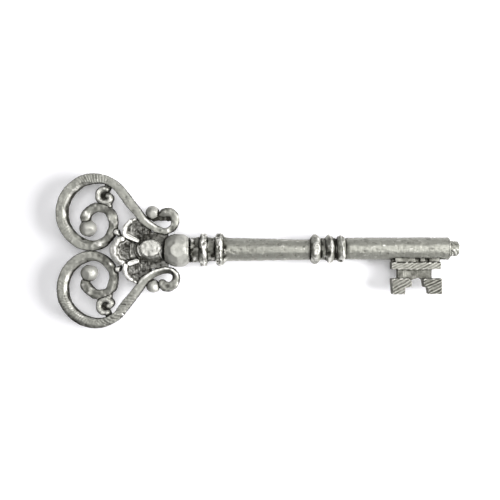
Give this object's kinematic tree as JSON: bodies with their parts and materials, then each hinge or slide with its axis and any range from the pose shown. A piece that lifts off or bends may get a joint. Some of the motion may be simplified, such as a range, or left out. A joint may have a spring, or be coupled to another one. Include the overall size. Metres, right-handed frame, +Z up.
{
  "type": "skeleton key",
  "caption": "Ornate skeleton key: heart-shaped scrolled wire bow with a shell ornament, turned collars and knop, round shank with a stepped bit and a pilot pin.",
  "frame": {"origin": "under the middle of the key's length, on the plane its fattest collar stands on", "axes": "+X along the shaft from the bow to the pin, +Z up, square to the flat of the bow and the bit; the bit points to -Y"},
  "size_m": [0.127, 0.049, 0.0105],
  "materials": {
    "scroll_pewter": "antique pewter, matt top faces, file marks, dark in the corners",
    "ball_pewter": "antique pewter, rubbed bright, hammered",
    "shell_pewter": "antique pewter, stippled, dark patina in the hollows",
    "shaft_pewter": "antique pewter, brushed along the shank, ridges rubbed bright",
    "bit_pewter": "antique pewter, slanting file marks, dark in the recesses"
  },
  "bodies": {
    "root": {"back_shell": "shell_pewter", "bit": "bit_pewter", "boss_rivet": "ball_pewter", "bow_core": "shell_pewter", "collar_spool": "shaft_pewter", "front_collar": "shaft_pewter", "front_shank": "shaft_pewter", "front_shell": "shell_pewter", "knop_ring_front": "shaft_pewter", "knop_ring_middle": "shaft_pewter", "knop_ring_rear": "shaft_pewter", "knop_spool_front": "shaft_pewter", "knop_spool_rear": "shaft_pewter", "lower_hook_ball": "ball_pewter", "lower_link_bead": "ball_pewter", "lower_link_scroll": "scroll_pewter", "lower_scroll": "scroll_pewter", "lower_volute_ball": "ball_pewter", "neck_ball": "ball_pewter", "neck_sleeve": "shaft_pewter", "rear_collar": "shaft_pewter", "rear_shank": "shaft_pewter", "tip_pin": "shaft_pewter", "upper_hook_ball": "ball_pewter", "upper_link_bead": "ball_pewter", "upper_link_scroll": "scroll_pewter", "upper_scroll": "scroll_pewter", "upper_volute_ball": "ball_pewter"}
  },
  "joints": []
}
